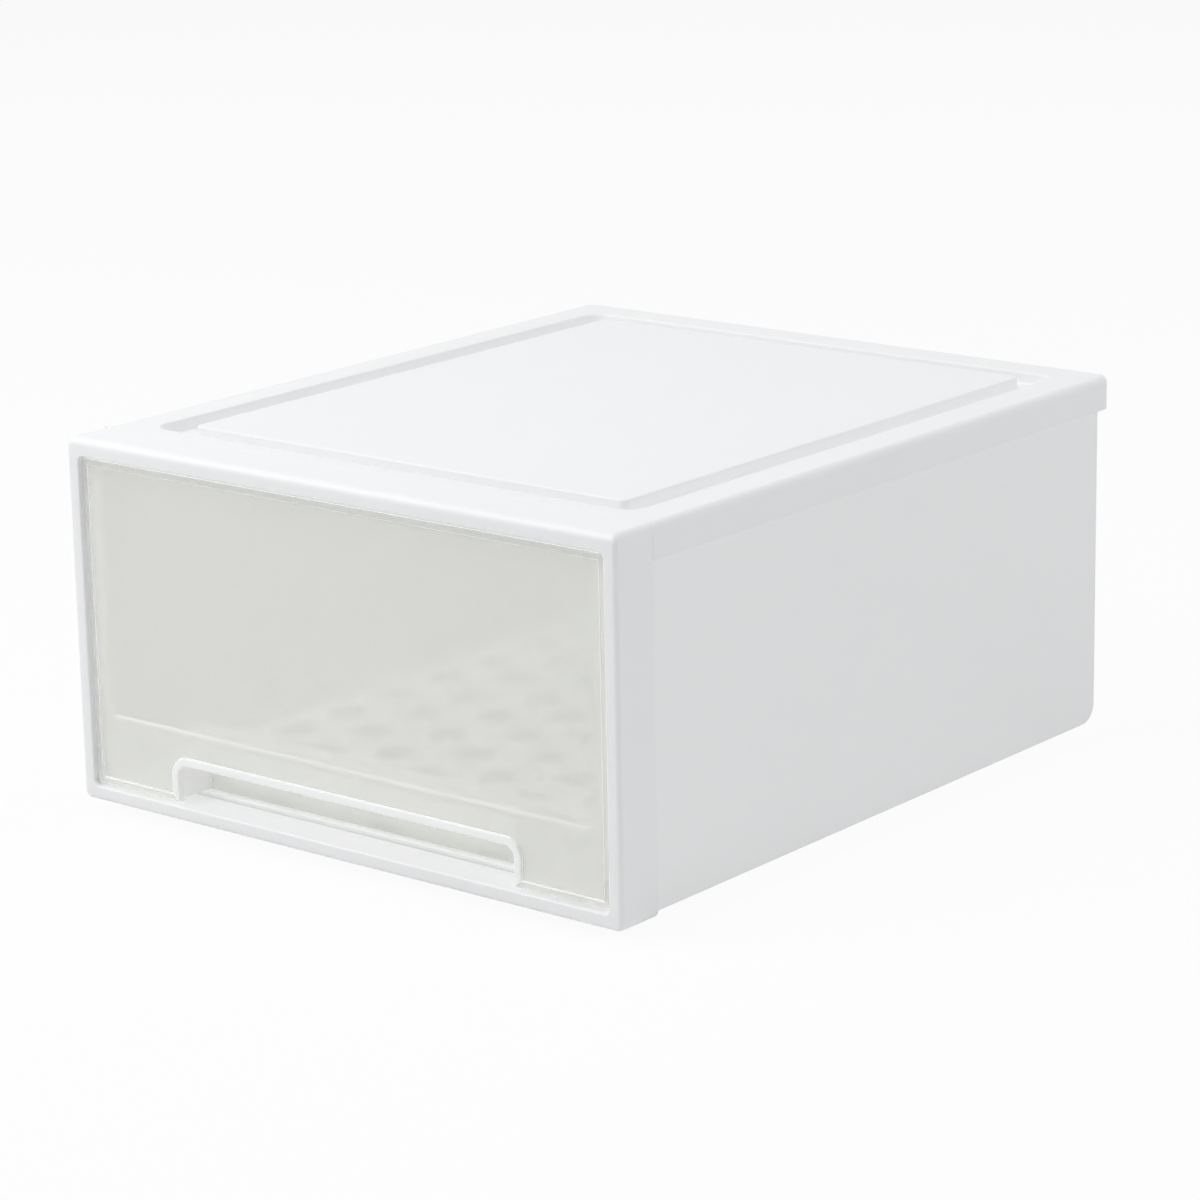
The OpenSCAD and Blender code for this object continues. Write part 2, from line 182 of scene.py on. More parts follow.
@dataclass(frozen=True)
class Outline:
    """A closed outline of straight sides that meet at right angles in rounded corners.

    The corners run anticlockwise, and side i goes from corner i to corner i + 1.
    """

    corners: np.ndarray
    radii: np.ndarray
    arc: int

    @classmethod
    def box(cls, low: Value, high: Value, radii: Value, arc: int = CORNER_STEPS) -> "Outline":
        """A rectangle whose corners start at the lower left."""
        corners = np.array([low, (high[0], low[1]), high, (low[0], high[1])], float)
        return cls(corners, np.broadcast_to(np.asarray(radii, float), 4), arc)

    @classmethod
    def disc(cls, centre: tuple[float, float], radius: float, arc: int) -> "Outline":
        """A circle, as a square whose corners are rounded all the way."""
        c = np.asarray(centre, float)
        return cls.box(c - radius, c + radius, radius - LEAST_RADIUS / 2, arc)

    def rings(self, section: Section) -> np.ndarray:
        """Carries a section round the outline.

        A corner moves inward along the normals of both its sides. Its arc runs from the incoming to
        the outgoing side: from the arc's centre, -r * out * cos t + r * in * sin t, with t from 0 to a
        right angle. The level goes from one side's to the next side's along the arc.

        Args:
            section: Insets and levels of the stations.

        Returns:
            An array of stations by points by (first, second, level).
        """
        inset, level = section.table(len(self.corners))
        out = np.roll(self.corners, -1, 0) - self.corners
        out = out / np.linalg.norm(out, axis=1, keepdims=True)
        come = np.roll(out, 1, 0)
        normal = np.stack([-out[:, 1], out[:, 0]], -1)
        normal_in = np.roll(normal, 1, 0)
        bend = np.sign(come[:, 0] * out[:, 1] - come[:, 1] * out[:, 0])
        inset_in = np.roll(inset, 1, 1)
        level_in = np.roll(level, 1, 1)
        at = self.corners + inset_in[..., None] * normal_in + inset[..., None] * normal
        r = np.maximum(self.radii - bend * (inset + inset_in) / 2, LEAST_RADIUS)[..., None]
        centre = at - r * come + r * out
        t = np.linspace(0, math.pi / 2, self.arc + 1)
        c, s = np.cos(t)[:, None], np.sin(t)[:, None]
        points = centre[:, :, None] + r[..., None] * (come[:, None] * s - out[:, None] * c)
        share = (t / t[-1])[None, None]
        lift = level_in[..., None] * (1 - share) + level[..., None] * share
        return np.concatenate([points, lift[..., None]], -1).reshape(len(inset), -1, 3)


@dataclass
class Shell:
    """Grids of points, drawn in one plane, that become the closed shells of one mesh."""

    plane: Plane
    points: list[np.ndarray] = field(default_factory=list)
    faces: list[list[int]] = field(default_factory=list)
    count: int = 0

    def _take(self, points: np.ndarray) -> int:
        """Adds points.

        Args:
            points: Points by (first, second, level).

        Returns:
            The index of the first one.
        """
        first = self.count
        xyz = np.empty_like(points)
        xyz[:, list(self.plane.value)] = points
        self.points.append(xyz)
        self.count += len(points)
        return first

    def loft(
        self, grid: np.ndarray, closed: bool = False, caps: tuple[bool, bool] = (True, True)
    ) -> "Shell":
        """Joins each ring of a grid to the next with quads.

        Args:
            grid: Rings by points by (first, second, level).
            closed: Whether the last ring joins the first, as in a frame.
            caps: Whether the first and the last ring are filled with one face.

        Returns:
            The shell itself.
        """
        m, n = grid.shape[:2]
        first = self._take(grid.reshape(-1, 3))
        i = np.arange(m if closed else m - 1)[:, None] * np.ones(n, int)
        j = np.arange(n)[None] * np.ones((len(i), 1), int)
        k, l = (i + 1) % m, (j + 1) % n
        quads = np.stack([i * n + j, i * n + l, k * n + l, k * n + j], -1).reshape(-1, 4)
        self.faces += (quads + first).tolist()
        if not closed:
            ends = [(np.arange(n) + first + at).tolist() for at in (0, (m - 1) * n)]
            self.faces += [end for end, cap in zip(ends, caps) if cap]
        return self

    def fill(self, loops: list[np.ndarray], level: float) -> "Shell":
        """Fills the flat area inside the first loop and outside all others with triangles.

        Args:
            loops: Points of each loop in the plane, the outer one first.
            level: Level of the area.

        Returns:
            The shell itself.
        """
        ends = np.cumsum([len(loop) for loop in loops])
        flat = np.concatenate(loops)
        edges = [pair for start, end in zip([0, *ends[:-1]], ends) for pair in loop_edges(start, end)]
        places = [Vector(p) for p in flat.tolist()]
        verts, _, faces, _, _, _ = delaunay_2d_cdt(places, edges, [], 1, FLAT_MERGE)
        xy = np.array([tuple(v) for v in verts])
        tris = np.array([list(f) for f in faces])
        middle = xy[tris].mean(1)
        keep = inside(middle, loops[0])
        for hole in loops[1:]:
            keep &= ~inside(middle, hole)
        first = self._take(np.column_stack([xy, np.full(len(xy), level)]))
        self.faces += (tris[keep] + first).tolist()
        return self

    def slab(
        self, low: Value, high: Value, edge: float = EDGE, corner: float = EDGE, steps: int = EDGE_STEPS
    ) -> "Shell":
        """Adds a box with rounded edges, given by its corners in x, y and z.

        Args:
            low: Lowest corner.
            high: Highest corner.
            edge: Radius of the edges around its lowest and highest level.
            corner: Radius of the edges along the level.
            steps: Steps of each rounding.

        Returns:
            The shell itself.
        """
        a, b, c = self.plane.value
        ring = Outline.box((low[a], low[b]), (high[a], high[b]), corner, steps)
        section = Section(edge, low[c]).turn(0, low[c] + edge, Leave.INWARD, steps)
        section.to(0, high[c] - edge).turn(edge, high[c], Leave.ALONG, steps)
        return self.loft(ring.rings(section))

    def join(self, other: "Shell") -> None:
        """Takes in a shell that is drawn in another plane.

        Args:
            other: The other shell.
        """
        self.faces += [[v + self.count for v in face] for face in other.faces]
        self.points += other.points
        self.count += other.count

    def mesh(self, name: str, mirrored: bool) -> bpy.types.Mesh:
        """Makes the mesh in the row frame, with doubles merged and faces turned outward.

        Args:
            name: Name of the mesh.
            mirrored: Whether x changes its sign.

        Returns:
            The mesh, smooth-shaded.
        """
        xyz = np.concatenate(self.points) * MM
        xyz[:, 1] += CAD_BOX[0].y
        if mirrored:
            xyz[:, 0] *= -1
        mesh = bpy.data.meshes.new(name)
        mesh.from_pydata(xyz.tolist(), [], self.faces)
        work = bmesh.new()
        work.from_mesh(mesh)
        bmesh.ops.remove_doubles(work, verts=work.verts, dist=MERGE)
        bmesh.ops.dissolve_degenerate(work, edges=work.edges, dist=MERGE / 2)
        bmesh.ops.recalc_face_normals(work, faces=work.faces)
        for face in work.faces:
            face.smooth = True
        work.to_mesh(mesh)
        work.free()
        return mesh


def loop_edges(start: int, end: int) -> list[tuple[int, int]]:
    """Edges of a closed loop over the indices from start to just before end."""
    index = np.arange(start, end)
    return list(zip(index.tolist(), np.roll(index, -1).tolist()))


def inside(points: np.ndarray, loop: np.ndarray) -> np.ndarray:
    """Whether points lie inside a loop: a ray to the right crosses it an odd number of times.

    Args:
        points: The points by (first, second).
        loop: The loop's points by (first, second).

    Returns:
        One truth value a point.
    """
    a, b = loop[None], np.roll(loop, -1, 0)[None]
    p = points[:, None]
    across = (a[..., 1] > p[..., 1]) != (b[..., 1] > p[..., 1])
    rise = np.where(b[..., 1] == a[..., 1], 1.0, b[..., 1] - a[..., 1])
    x = a[..., 0] + (p[..., 1] - a[..., 1]) * (b[..., 0] - a[..., 0]) / rise
    return (across & (p[..., 0] < x)).sum(1) % 2 == 1


# ---------------------------------------------------------------- finishes


class Graph:
    """Node tree of a material, a world or a group, with short ways to add nodes and links."""

    def __init__(self, tree: bpy.types.NodeTree) -> None:
        """Takes the tree and empties it."""
        self.tree = tree
        tree.nodes.clear()

    def put(self, socket: Socket, value: object) -> None:
        """Sets an input, or links it.

        Args:
            socket: The input.
            value: Its value, or the socket that feeds it.
        """
        if isinstance(value, Socket):
            self.tree.links.new(value, socket)
        else:
            socket.default_value = value

    def feed(self, node: bpy.types.Node, **inputs: object) -> bpy.types.Node:
        """Sets or links some inputs of a node.

        Args:
            node: The node.
            inputs: For each input's name, with underscores for spaces, its value or what feeds it.

        Returns:
            The node itself.
        """
        for name, value in inputs.items():
            self.put(node.inputs[name.replace("_", " ")], value)
        return node

    def node(self, kind: str, **inputs: object) -> bpy.types.Node:
        """Adds a node of a kind, without the words ShaderNode in front of it, and feeds it."""
        return self.feed(self.tree.nodes.new("ShaderNode" + kind), **inputs)

    def group(self, tree: bpy.types.NodeTree, **inputs: object) -> bpy.types.Node:
        """Adds a shared group.

        Args:
            tree: The group's tree.
            inputs: What feeds its inputs, as in feed.

        Returns:
            The group's node.
        """
        made = self.tree.nodes.new("ShaderNodeGroup")
        made.node_tree = tree
        return self.feed(made, **inputs)

    def math(self, operation: str, *values: object) -> Socket:
        """Adds a Math node.

        Args:
            operation: What it works out.
            values: Its values, or the sockets that feed them.

        Returns:
            Its result.
        """
        made = self.node("Math")
        made.operation = operation
        for socket, value in zip(made.inputs, values):
            self.put(socket, value)
        return made.outputs[0]

    def noise(self, place: Socket, scale: object, detail: float, roughness: float) -> Socket:
        """Adds a noise of a scale in cycles per metre and returns its value."""
        made = self.node("TexNoise", Vector=place, Scale=scale, Detail=detail, Roughness=roughness)
        return made.outputs["Fac"]

    def mix(self, factor: Socket, first: object, second: object) -> Socket:
        """Mixes two colours.

        Args:
            factor: Share of the second one.
            first: The first colour.
            second: The second colour.

        Returns:
            The mixed colour.
        """
        made = self.node("Mix")
        made.data_type = "RGBA"
        for index, value in zip(COLOUR_MIX_INPUTS, (factor, first, second)):
            self.put(made.inputs[index], value)
        return made.outputs[COLOUR_MIX_RESULT]

    def blend(self, factor: Socket, first: bpy.types.Node, second: bpy.types.Node) -> Socket:
        """Mixes the shaders of two nodes.

        Args:
            factor: Share of the second one.
            first: The first shader's node.
            second: The second shader's node.

        Returns:
            The mixed shader.
        """
        made = self.node("MixShader", Fac=factor)
        for socket, shader in zip(made.inputs[1:], (first, second)):
            self.put(socket, shader.outputs[0])
        return made.outputs[0]


class Effects:
    """Shader node groups that the finishes share. Each puts out only values or a normal."""

    # Scales in cycles per metre
    WAVES = 14.0
    # Finer scale of the handling marks, in scales of the clouds
    MARKS = 7.0
    # Heights in metres
    WAVE_HEIGHT = 0.004
    GRAIN_HEIGHT = 0.0002
    # Detail and roughness of the noises
    WAVE_NOISE = (1.0, 0.4)
    GRAIN_NOISE = (2.0, 0.6)
    CLOUD_NOISE = (4.0, 0.5)
    MARK_NOISE = (5.0, 0.65)

    @staticmethod
    def start(
        name: str, values: tuple[str, ...], outputs: dict[str, str]
    ) -> tuple[Graph, dict[str, Socket], bpy.types.Node]:
        """Starts a group that takes a place and some values.

        Args:
            name: Name of the group.
            values: Names of the values.
            outputs: For each output, its type.

        Returns:
            The graph, its inputs by name, and its output node.
        """
        tree = bpy.data.node_groups.new(name, "ShaderNodeTree")
        kinds = {"Place": "Vector", **dict.fromkeys(values, "Float")}
        for way, sockets in (("INPUT", kinds), ("OUTPUT", outputs)):
            for socket, kind in sockets.items():
                tree.interface.new_socket(socket, in_out=way, socket_type="NodeSocket" + kind)
        graph = Graph(tree)
        entry, end = (tree.nodes.new(kind) for kind in ("NodeGroupInput", "NodeGroupOutput"))
        return graph, {s.name: s for s in entry.outputs}, end

    @classmethod
    def moulded_skin(cls) -> bpy.types.NodeTree:
        """Skin of moulded plastic: a fine spark-eroded grain on the slow waves of a cooled wall.

        Returns:
            The group, which puts out a normal.
        """
        found = bpy.data.node_groups.get("moulded_skin")
        if found:
            return found
        graph, take, end = cls.start("moulded_skin", ("Grain Scale", "Grain", "Waves"), {"Normal": "Vector"})
        wave = graph.noise(take["Place"], cls.WAVES, *cls.WAVE_NOISE)
        slow = graph.node("Bump", Height=wave, Strength=take["Waves"], Distance=cls.WAVE_HEIGHT)
        grain = graph.noise(take["Place"], take["Grain Scale"], *cls.GRAIN_NOISE)
        fine = graph.node(
            "Bump", Height=grain, Strength=take["Grain"], Distance=cls.GRAIN_HEIGHT, Normal=slow.outputs[0]
        )
        graph.feed(end, Normal=fine.outputs[0])
        return graph.tree

    @classmethod
    def resin_cloud(cls) -> bpy.types.NodeTree:
        """Uneven resin: soft clouds in its colour, and handling marks that change the gloss.

        Returns:
            The group, which puts out two masks.
        """
        found = bpy.data.node_groups.get("resin_cloud")
        if found:
            return found
        graph, take, end = cls.start("resin_cloud", ("Scale",), {"Cloud": "Float", "Smudge": "Float"})
        cloud = graph.noise(take["Place"], take["Scale"], *cls.CLOUD_NOISE)
        fine = graph.math("MULTIPLY", take["Scale"], cls.MARKS)
        marks = graph.noise(take["Place"], fine, *cls.MARK_NOISE)
        graph.feed(end, Cloud=cloud, Smudge=marks)
        return graph.tree


def opaque(colour: Colour) -> tuple[float, float, float, float]:
    """A colour with full alpha."""
    return (*colour, 1.0)


@dataclass(frozen=True)
class Plastic:
    """A moulded polypropylene, from opaque white to natural and see-through.

    light and shade are the colours between which the resin's clouds go, and roughness holds the
    values between which the handling marks go. lamp_pass is the share of the lamps' light that
    passes through the wall.
    """

    name: str
    light: Colour
    shade: Colour
    roughness: tuple[float, float]
    lamp_pass: float = 0.0
    grain: float = 0.10
    grain_scale: float = 1800.0
    waves: float = 0.05
    cloud_scale: float = 9.0
    scatter: float = 0.0
    scatter_depth: float = 0.004
    scatter_radius: Colour = (1.0, 0.95, 0.85)
    clearness: float = 0.0
    ior: float = 1.49

    def material(self) -> bpy.types.Material:
        """Makes the material, once: a Principled shader fed by the shared effects.

        Returns:
            The material.
        """
        found = bpy.data.materials.get(self.name)
        if found:
            return found
        made = bpy.data.materials.new(self.name)
        made.use_nodes = True
        graph = Graph(made.node_tree)
        place = graph.node("TexCoord").outputs["Object"]
        cloud = graph.group(Effects.resin_cloud(), Place=place, Scale=self.cloud_scale)
        skin = graph.group(
            Effects.moulded_skin(), Place=place, Grain_Scale=self.grain_scale, Grain=self.grain,
            Waves=self.waves,
        )
        low, high = self.roughness
        shader = graph.node(
            "BsdfPrincipled",
            Base_Color=graph.mix(cloud.outputs["Cloud"], opaque(self.shade), opaque(self.light)),
            Roughness=graph.math("MULTIPLY_ADD", cloud.outputs["Smudge"], high - low, low),
            Normal=skin.outputs["Normal"], IOR=self.ior, Transmission_Weight=self.clearness,
            Subsurface_Weight=self.scatter, Subsurface_Scale=self.scatter_depth,
            Subsurface_Radius=self.scatter_radius,
        )
        surface = shader.outputs["BSDF"]
        if self.lamp_pass:
            clear = graph.node("BsdfTransparent", Color=opaque((self.lamp_pass,) * 3))
            surface = graph.blend(graph.node("LightPath").outputs["Is Shadow Ray"], shader, clear)
        graph.node("OutputMaterial", Surface=surface)
        return made


WHITE = Plastic(
    "white_casing", (0.875, 0.88, 0.885), (0.86, 0.865, 0.87), (0.38, 0.48), 0.8,
    scatter=0.3, scatter_depth=0.002,
)
PANEL = Plastic(
    "white_panel", (0.90, 0.905, 0.905), (0.88, 0.885, 0.885), (0.42, 0.52), 0.9,
    waves=0.08, scatter=0.3, scatter_depth=0.002,
)
PAD = Plastic("foot_pad", (0.74, 0.75, 0.75), (0.70, 0.71, 0.71), (0.55, 0.68), grain=0.3)
HAZE = Plastic(
    "natural_front", (0.90, 0.902, 0.878), (0.88, 0.885, 0.86), (0.07, 0.10), 0.92,
    grain=0.01, waves=0.0, clearness=0.6,
)
# Whiter, opaque finish: the milky look of thick plastic on the front's edges and lip, partly a painted
# highlight there, and painted light on the tub's bead and the pocket's side walls
MILKY_AND_PAINTED_LIGHT = Plastic(
    "natural_milky_painted_light", (0.95, 0.95, 0.94), (0.93, 0.935, 0.92), (0.26, 0.34), 0.92,
    grain=0.03, waves=0.02, scatter=0.7,
)
TUB = Plastic(
    "natural_tub", (0.90, 0.90, 0.875), (0.88, 0.885, 0.855), (0.26, 0.34), 0.95,
    grain=0.05, waves=0.04, clearness=0.3,
)
PLATE = Plastic(
    "natural_plate", (0.90, 0.905, 0.885), (0.87, 0.88, 0.86), (0.07, 0.11), 0.95,
    grain=0.02, waves=0.0, clearness=0.6,
)
# Darker finish for the floor's dimples: painted shade in their hollows
DIMPLE_PAINTED_SHADE = Plastic(
    "natural_dimple_painted_shade", (0.57, 0.585, 0.58), (0.53, 0.545, 0.54), (0.26, 0.34), 0.95,
    grain=0.05, waves=0.02, clearness=0.3,
)


def piece(
    name: str, shell: Shell, body: str, finish: Plastic, node: str, mirrored: bool = False
) -> bpy.types.Object:
    """Makes one piece of the object, dresses it and lets it ride on its body.

    Args:
        name: Name of the piece.
        shell: Its closed shells.
        body: The CAD body that it rides on.
        finish: Its plastic.
        node: The CAD node that it stands for.
        mirrored: Whether it is made with x turned round.

    Returns:
        The piece, at the origin, with its place in its mesh.
    """
    made = bpy.data.objects.new(name, shell.mesh(name, mirrored))
    bpy.context.scene.collection.objects.link(made)
    made.data.materials.append(finish.material())
    even = made.modifiers.new("flat_faces_stay_flat", "WEIGHTED_NORMAL")
    even.mode = "FACE_AREA"
    even.weight = FLAT_WEIGHT
    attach(made, body)
    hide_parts(node)
    log.info("%s: %d faces", name, len(made.data.polygons))
    return made


def paint(made: bpy.types.Object, finish: Plastic, where: Callable[[np.ndarray], np.ndarray]) -> None:
    """Gives some faces of a piece another finish.

    Args:
        made: The piece.
        finish: The other finish.
        where: Tells from the faces' middles, by (distance from the middle plane, y, z), which faces.
    """
    made.data.materials.append(finish.material())
    count = len(made.data.polygons)
    middle, index = np.empty(count * 3), np.empty(count, np.int32)
    made.data.polygons.foreach_get("center", middle)
    made.data.polygons.foreach_get("material_index", index)
    middle = middle.reshape(-1, 3) / MM - np.array([0.0, CAD_BOX[0].y / MM, 0.0])
    middle[:, 0] = np.abs(middle[:, 0])
    index[where(middle)] = len(made.data.materials) - 1
    made.data.polygons.foreach_set("material_index", index)


def within(at: np.ndarray, low: Value, high: Value) -> np.ndarray:
    """Whether each place lies between the lowest and the highest corner of a box."""
    return ((at > np.asarray(low)) & (at < np.asarray(high))).all(1)


# ---------------------------------------------------------------- sizes shared by the pieces


@dataclass(frozen=True)
class Common:
    """Walls, fits and places that more than one piece uses."""

    wall: float = 2.4
    panel: float = 2.2
    fit: float = 0.3
    edge: float = EDGE
    # Set-back of a rib or strip that would share a face with another
    clear: float = 0.05
    seam_gap: float = 0.1
    seam_edge: float = 0.2
    opening_side: float = 7.5
    opening_top: float = 9.0
    opening_bottom: float = 7.3
    # Depth of the frame's lining, which the base's front rib meets
    lining: float = 20.0
    # Place where the tongues of the cover and of the base start, inside the frame
    tongue: float = 8.0
    # Radius of the round heel that the side panels, the back and the base share
    heel: float = 10.0
    rib_margin: float = 9.0
    # Places of the runners' middles, from the box's middle
    runner_places: tuple[float, float] = (30.0, 124.0)
    # Height of the guides over the sill
    guide_rise: float = 7.6
    frame_low: np.ndarray = field(default_factory=lambda: span("front_frame")[0])
    frame_high: np.ndarray = field(default_factory=lambda: span("front_frame")[1])

    @property
    def side(self) -> float:
        """Half width of the casing."""
        return self.frame_high[0]

    @property
    def seam(self) -> float:
        """Place of the front edge of the cover and of the side panels."""
        return self.frame_high[1] + self.seam_gap

    @property
    def opening(self) -> tuple[tuple[float, float], tuple[float, float]]:
        """Lowest and highest corner of the drawer's opening, in x and z."""
        x = self.side - self.opening_side
        return (-x, self.frame_low[2] + self.opening_bottom), (x, self.frame_high[2] - self.opening_top)


# ---------------------------------------------------------------- casing


@dataclass
class FrontFrame:
    """Collar round the drawer: a rounded face between an outer wall and the lining of the opening."""

    common: Common
    corner: float = 4.0
    face_edge: float = 2.5
    face_top_edge: float = 4.0
    opening_corner: float = 3.0
    opening_edge: float = 0.9

    def build(self) -> None:
        """Carries the frame's section round its outline and round the opening, as one closed loop."""
        c = self.common
        e, t = c.edge, c.wall
        low, high = c.frame_low, c.frame_high
        outer = Outline.box((low[0], low[2]), (high[0], high[2]), self.corner)
        face = np.array([self.face_edge, self.face_edge, self.face_top_edge, self.face_edge])
        back = high[1]
        outside = Section(t + e, t).turn(t, t + e, Leave.INWARD)
        outside.to(t, back - e).turn(t - e, back, Leave.ALONG)
        outside.to(c.seam_edge, back).turn(0, back - c.seam_edge, Leave.INWARD)
        outside.to(0, face).turn(face, 0, Leave.ALONG, WIDE_STEPS)
        soft = self.opening_edge
        inner = Section(-soft, 0).turn(0, soft, Leave.INWARD, SOFT_STEPS)
        inner.to(0, c.lining - e).turn(-e, c.lining, Leave.ALONG)
        inner.to(e - t, c.lining).turn(-t, c.lining - e, Leave.INWARD)
        inner.to(-t, t + e).turn(-t - e, t, Leave.ALONG)
        opening = Outline.box(*c.opening, self.opening_corner)
        grid = np.concatenate([outer.rings(outside), opening.rings(inner)])
        shell = Shell(Plane.FRONT).loft(grid, closed=True)
        piece("casing_front_frame", shell, CASING, WHITE, "front_frame")


@dataclass
class TopCover:
    """Lid with a skirt on three sides and a groove round its platform."""

    common: Common
    corner: float = 6.0
    side_edge: float = 4.0
    rear_edge: float = 2.5
    border_side: float = 21.0
    border_front: float = 12.2
    border_rear: float = 20.0
    groove_side: float = 14.7
    groove_front: float = 13.5
    groove_rear: float = 9.0
    groove_depth: float = 6.0
    groove_corner: float = 10.0
    platform_corner: float = 4.0
    # Radii of the groove's edges and of its foot, and how far its walls lean
    lip: float = 1.0
    toe: float = 1.2
    slope: float = 0.25

    def build(self) -> None:
        """Lofts the lid from the middle of its platform over the groove, round the skirt and back below."""
        c = self.common
        e, t = c.edge, c.wall
        low, high = span("top_cover")
        x, y0, y1 = c.side, c.seam, high[1]
        rim = Outline.box((-x, y0), (x, y1), (c.seam_edge, c.seam_edge, self.corner, self.corner))
        gx = x - self.border_side
        g0, g1 = y0 + self.border_front, y1 - self.border_rear
        groove = Outline.box((-gx, g0), (gx, g1), self.groove_corner)
        px = gx - self.groove_side
        p0, p1 = g0 + self.groove_front, g1 - self.groove_rear
        platform = Outline.box((-px, p0), (px, p1), self.platform_corner)
        top, floor = high[2], high[2] - self.groove_depth
        lip, toe, slope = self.lip, self.toe, self.slope
        inner = Section(lip, top).turn(0, top - lip, Leave.INWARD, SOFT_STEPS)
        inner.to(-slope, floor + toe).turn(-slope - toe, floor, Leave.ALONG, FOOT_STEPS)
        outer = Section(slope + toe, floor).turn(slope, floor + toe, Leave.INWARD, FOOT_STEPS)
        outer.to(0, top - lip).turn(-lip, top, Leave.ALONG, SOFT_STEPS)
        edge = np.array([c.seam_edge, self.side_edge, self.rear_edge, self.side_edge])
        # the front has no skirt: its lower edge stays at the lid's own underside
        below = top - t
        hem = np.array([below, low[2], low[2], low[2]])
        wall = np.array([e, t, t, t])
        soft = np.array([0, e, e, e])
        skirt = Section(edge, top).turn(0, top - edge, Leave.INWARD, WIDE_STEPS)
        skirt.to(0, hem + soft).turn(soft, hem, Leave.ALONG)
        skirt.to(wall - soft, hem).turn(wall, hem + soft, Leave.INWARD)
        skirt.to(wall, below - soft).turn(wall + soft, below, Leave.ALONG)
        under = Section(-t - e, below).turn(-t, below - e, Leave.INWARD)
        under.to(-t, floor - t + toe).turn(-t + toe, floor - t, Leave.ALONG, BEAD_STEPS)
        middle = Section(t - toe, floor - t).turn(t, floor - t + toe, Leave.INWARD, BEAD_STEPS)
        middle.to(t, below - e).turn(t + e, below, Leave.ALONG)
        shell = Shell(Plane.TOP).loft(np.concatenate([
            platform.rings(inner), groove.rings(outer), rim.rings(skirt), groove.rings(under),
            platform.rings(middle),
        ]))
        opening_x, head = c.opening[1]
        reach = opening_x + t
        shell.slab((-reach, c.tongue, head + t + c.fit), (reach, y0 + t, below - c.fit))
        shell.slab((-reach, y0, below - 2 * c.fit), (reach, y0 + t, below + t / 2))
        piece("casing_top_cover", shell, CASING, WHITE, "top_cover")


@dataclass
class SidePanel:
    """Side wall with flanges below and behind, and strips that enter the frame and the cover."""

    common: Common
    soft: float = 1.0
    # How far the wall's lower edge lies over the CAD node's
    lift: float = 0.8
    # The front strip's lower end over the frame's foot, and its upper end under the panel's top
    strip_foot: float = 6.0
    strip_head: float = 1.3

    def build(self) -> None:
        """Makes the right panel and its mirror image."""
        for side in ("right", "left"):
            node = f"side_panel_{side}"
            piece(f"casing_{node}", self.shell(), CASING, PANEL, node, side == "left")

    def shell(self) -> Shell:
        """Makes a tray of the wall and its flanges, and the strips and ribs that stand on it.

        Returns:
            The right panel's shell.
        """
        c = self.common
        e, t, clear = c.edge, c.panel, c.clear
        low, high = span("side_panel_right")
        step = span("top_cover")[0][2] - c.seam_gap
        outline = Outline.box(
            (c.seam, low[2] + self.lift), (high[1], step), (c.seam_edge, c.heel, c.seam_edge, c.seam_edge)
        )
        strip_out = c.side - c.wall - c.fit
        strip_in = c.opening[1][0] + c.wall + c.fit
        edge = np.array([self.soft, self.soft, c.seam_edge, c.seam_edge])
        end = np.array([low[0], low[0], strip_in, strip_in])
        x = high[0]
        section = Section(edge, x).turn(0, x - edge, Leave.INWARD, SOFT_STEPS)
        section.to(0, end + e).turn(e, end, Leave.ALONG)
        section.to(t - e, end).turn(t, end + e, Leave.INWARD)
        section.to(t, x - t - e).turn(t + e, x - t, Leave.ALONG)
        shell = Shell(Plane.SIDE).loft(outline.rings(section))
        # the rear rib holds the back panel against the flange, with a wall's width to spare
        rib = high[1] - 4 * t - 2 * c.fit
        foot, head = c.frame_low[2] + self.strip_foot, high[2] - self.strip_head
        shell.slab((strip_in, low[1], foot), (strip_out, c.seam + t, head))
        shell.slab((strip_in, c.seam, step - t), (strip_out, high[1], high[2]))
        inner = (strip_out - clear, high[1] - clear, high[2] - clear)
        shell.slab((low[0], high[1] - t, step - t / 2), inner)
        shell.slab((low[0], rib, low[2] + c.heel), (x - t / 2, rib + t, step))
        shell.slab((low[0] + clear, rib + clear, step - t), (inner[0], rib + t - clear, inner[2]))
        return shell


@dataclass
class BackPanel:
    """Rear wall between the side panels' flanges, stiffened by crossed ribs on its outside."""

    common: Common
    uprights: int = 5
    levels: int = 3
    rib_wall: float = 2.2
    rib_edge: float = 0.6

    def build(self) -> None:
        """Makes the wall, its apron and its ribs."""
        c = self.common
        clear = c.clear
        low, high = span("back_panel")
        flange_x, _, lift = span("side_panel_right")[0]
        heel = lift + c.heel + c.fit
        face = low[1] + c.panel
        shell = Shell(Plane.FRONT)
        shell.slab((low[0], low[1], heel), (high[0], face, high[2]))
        apron = flange_x - c.fit
        shell.slab((-apron, low[1] + clear, low[2]), (apron, face - clear, heel + c.fit))
        reach = flange_x - c.rib_margin
        z0, z1 = heel + c.rib_margin, span("top_cover")[0][2] - c.rib_margin
        half, e = self.rib_wall / 2, self.rib_edge
        for x in np.linspace(-reach, reach, self.uprights):
            shell.slab((x - half, face - half, z0 - half), (x + half, high[1], z1 + half), e, e)
        end = reach + half - clear
        for z in np.linspace(z0, z1, self.levels):
            shell.slab(
                (-end, face - half + clear, z - half + clear), (end, high[1] - clear, z + half - clear), e, e
            )
        piece("casing_back_panel", shell, CASING, PANEL, "back_panel")


